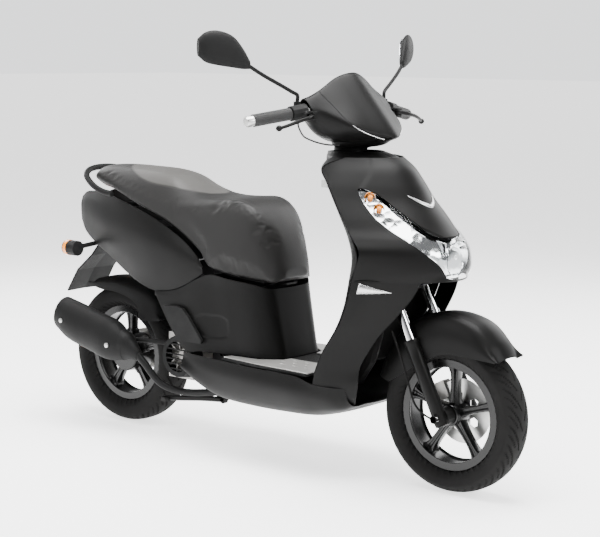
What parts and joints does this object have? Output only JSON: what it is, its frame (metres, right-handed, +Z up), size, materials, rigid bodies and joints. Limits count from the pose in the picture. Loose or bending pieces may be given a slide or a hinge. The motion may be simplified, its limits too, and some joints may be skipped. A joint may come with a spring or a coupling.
{
  "type": "moped scooter",
  "caption": "Step-through moped scooter with small cast wheels, long dual seat, telescopic fork, swing-unit engine and folding footpegs.",
  "frame": {"origin": "on the ground, at the middle of the overall length and width", "axes": "+X forward, +Y to the rider's left, +Z up"},
  "size_m": [1.8042, 1.0048, 1.31],
  "materials": {
    "satin_black": "satin charcoal black paint on moulded plastic",
    "matte_black": "textured unpainted black plastic",
    "gloss_black": "gloss black enamel on cast aluminium",
    "frame_black": "black frame enamel",
    "fork_black": "satin black enamel on cast aluminium",
    "exhaust_black": "heat proof matte black",
    "cast_alu": "bare cast aluminium",
    "disc_steel": "ground stainless steel",
    "steel": "zinc plated steel",
    "chrome": "hard chrome plating",
    "reflector": "aluminised plastic reflector",
    "tyre_rubber": "moulded tyre rubber",
    "soft_rubber": "ribbed grip rubber",
    "seat_cover": "grained vinyl seat cover over foam",
    "step_metal": "satin anodised aluminium tread plate",
    "clear_lens": "clear polycarbonate lens",
    "red_lens": "red acrylic lens"
  },
  "bodies": {
    "chassis": {"main_frame": "frame_black", "front_apron": "satin_black", "headlight_lens": "clear_lens", "headlight_housing": "reflector", "inner_leg_shield": "satin_black", "floor_panel": "matte_black", "step_plate_right": "step_metal", "step_plate_left": "step_metal", "belly_pan": "satin_black", "battery": "matte_black", "seat_pillar_cover": "satin_black", "helmet_bucket": "matte_black", "fuel_tank": "matte_black", "tail_fairing_right": "satin_black", "tail_fairing_left": "satin_black", "tail_light": "red_lens", "plate_holder": "matte_black", "grab_rail": "matte_black"},
    "steering": {"fork_yoke": "chrome", "handlebar": "steel", "switch_pod_right": "matte_black", "switch_pod_left": "matte_black", "bar_cowl_front": "satin_black", "bar_cowl_rear": "satin_black", "brake_cable_right": "soft_rubber"},
    "fork_lower": {"fork_sliders": "fork_black", "brake_caliper": "cast_alu", "speedometer_cable": "soft_rubber", "front_fender": "satin_black"},
    "front_wheel": {"front_tyre": "tyre_rubber", "front_rim": "gloss_black", "brake_disc": "disc_steel"},
    "throttle": {"throttle_grip": "soft_rubber"},
    "right_lever": {"brake_lever_right": "fork_black"},
    "left_lever": {"brake_lever_left": "fork_black"},
    "right_mirror": {"mirror_right": "matte_black"},
    "left_mirror": {"mirror_left": "matte_black"},
    "starter": {"starter_button": "matte_black"},
    "horn": {"horn_button": "matte_black"},
    "indicator": {"indicator_switch": "matte_black"},
    "key": {"ignition_key": "steel"},
    "seat": {"seat_cushion": "seat_cover", "seat_base": "matte_black"},
    "engine": {"crankcase": "cast_alu", "belt_cover": "matte_black", "fan_cover": "matte_black", "muffler": "exhaust_black", "muffler_shield": "matte_black", "rear_hugger": "matte_black", "air_box": "matte_black"},
    "fan": {"cooling_fan": "cast_alu"},
    "kickstart": {"kickstart_lever": "steel"},
    "rear_wheel": {"rear_tyre": "tyre_rubber", "rear_rim": "gloss_black"},
    "shock_upper": {"shock_damper": "frame_black", "shock_spring": "steel"},
    "shock_lower": {"shock_rod": "steel"},
    "stand": {"centre_stand": "frame_black"},
    "right_footpeg": {"footpeg_right": "matte_black"},
    "left_footpeg": {"footpeg_left": "matte_black"}
  },
  "joints": [
    {"name": "steering_turn", "type": "hinge", "parent": "chassis", "child": "steering", "pos_m": [0.37496, 0, 0.74909], "axis": [-0.4462, 0, 0.8949], "range_deg": [-40, 40]},
    {"name": "fork_travel", "type": "slide", "parent": "steering", "child": "fork_lower", "axis": [-0.4462, 0, 0.8949], "range_m": [0, 0.045], "stiffness_N_per_m": 9000, "springref_m": -0.07},
    {"name": "front_wheel_spin", "type": "hinge", "parent": "fork_lower", "child": "front_wheel", "pos_m": [0.674, 0, 0.22775], "axis": [0, 1, 0], "continuous": true},
    {"name": "throttle_twist", "type": "hinge", "parent": "steering", "child": "throttle", "pos_m": [0.261, -0.208, 1.083], "axis": [-0.2826, -0.9492, -0.1386], "range_deg": [0, 75], "stiffness_Nm_per_rad": 0.15, "springref_deg": -34.38},
    {"name": "right_lever_pull", "type": "hinge", "parent": "steering", "child": "right_lever", "pos_m": [0.299, -0.203, 1.072], "axis": [0, 0, -1], "range_deg": [0, 16], "stiffness_Nm_per_rad": 2, "springref_deg": -11.46},
    {"name": "left_lever_pull", "type": "hinge", "parent": "steering", "child": "left_lever", "pos_m": [0.299, 0.203, 1.072], "axis": [0, 0, 1], "range_deg": [0, 16], "stiffness_Nm_per_rad": 2, "springref_deg": -11.46},
    {"name": "right_mirror_swivel", "type": "hinge", "parent": "steering", "child": "right_mirror", "pos_m": [0.244, -0.207, 1.112], "axis": [0, 0, 1], "range_deg": [-25, 25]},
    {"name": "left_mirror_swivel", "type": "hinge", "parent": "steering", "child": "left_mirror", "pos_m": [0.244, 0.207, 1.112], "axis": [0, 0, 1], "range_deg": [-25, 25]},
    {"name": "starter_push", "type": "slide", "parent": "steering", "child": "starter", "axis": [0.8791, -0.2597, -0.3996], "range_m": [0, 0.002], "stiffness_N_per_m": 900, "springref_m": -0.001},
    {"name": "horn_push", "type": "slide", "parent": "steering", "child": "horn", "axis": [0.9299, 0.27, 0.25], "range_m": [0, 0.002], "stiffness_N_per_m": 900, "springref_m": -0.001},
    {"name": "indicator_slide", "type": "slide", "parent": "steering", "child": "indicator", "axis": [-0.2826, 0.9492, -0.1386], "range_m": [-0.003, 0.003]},
    {"name": "key_turn", "type": "hinge", "parent": "chassis", "child": "key", "pos_m": [0.279, -0.084, 0.868], "axis": [-1, 0, 0], "range_deg": [0, 90]},
    {"name": "seat_lift", "type": "hinge", "parent": "chassis", "child": "seat", "pos_m": [0.05, 0, 0.536], "axis": [0, 1, 0], "range_deg": [0, 58]},
    {"name": "engine_swing", "type": "hinge", "parent": "chassis", "child": "engine", "pos_m": [-0.197, 0, 0.215], "axis": [0, 1, 0], "range_deg": [0, 6], "stiffness_Nm_per_rad": 2500, "springref_deg": -14.32},
    {"name": "fan_spin", "type": "hinge", "parent": "engine", "child": "fan", "pos_m": [-0.311, -0.11, 0.28], "axis": [0, 1, 0], "continuous": true},
    {"name": "kickstart_push", "type": "hinge", "parent": "engine", "child": "kickstart", "pos_m": [-0.353, 0.15, 0.214], "axis": [0, -1, 0], "range_deg": [0, 50], "stiffness_Nm_per_rad": 3, "springref_deg": -28.65},
    {"name": "rear_wheel_spin", "type": "hinge", "parent": "engine", "child": "rear_wheel", "pos_m": [-0.656, 0, 0.23471], "axis": [0, 1, 0], "continuous": true},
    {"name": "shock_tilt", "type": "hinge", "parent": "chassis", "child": "shock_upper", "pos_m": [-0.477, 0.106, 0.56], "axis": [0, 1, 0], "range_deg": [0, 3.9]},
    {"name": "shock_travel", "type": "slide", "parent": "shock_upper", "child": "shock_lower", "axis": [0.5944, 0, 0.8042], "range_m": [0, 0.0465], "deforming": ["shock_spring"]},
    {"name": "stand_swing", "type": "hinge", "parent": "engine", "child": "stand", "pos_m": [-0.165, 0, 0.152], "axis": [0, -1, 0], "range_deg": [0, 100], "stiffness_Nm_per_rad": 6, "springref_deg": -51.57},
    {"name": "right_peg_fold", "type": "hinge", "parent": "chassis", "child": "right_footpeg", "pos_m": [-0.222, -0.17, 0.343], "axis": [1, 0, 0], "range_deg": [0, 90]},
    {"name": "left_peg_fold", "type": "hinge", "parent": "chassis", "child": "left_footpeg", "pos_m": [-0.222, 0.17, 0.343], "axis": [-1, 0, 0], "range_deg": [0, 90]}
  ],
  "couplings": [
    {"joint": "shock_tilt", "follows": "engine_swing", "ratio": 0.632},
    {"joint": "shock_travel", "follows": "engine_swing", "m_per_rad": 0.4337}
  ]
}
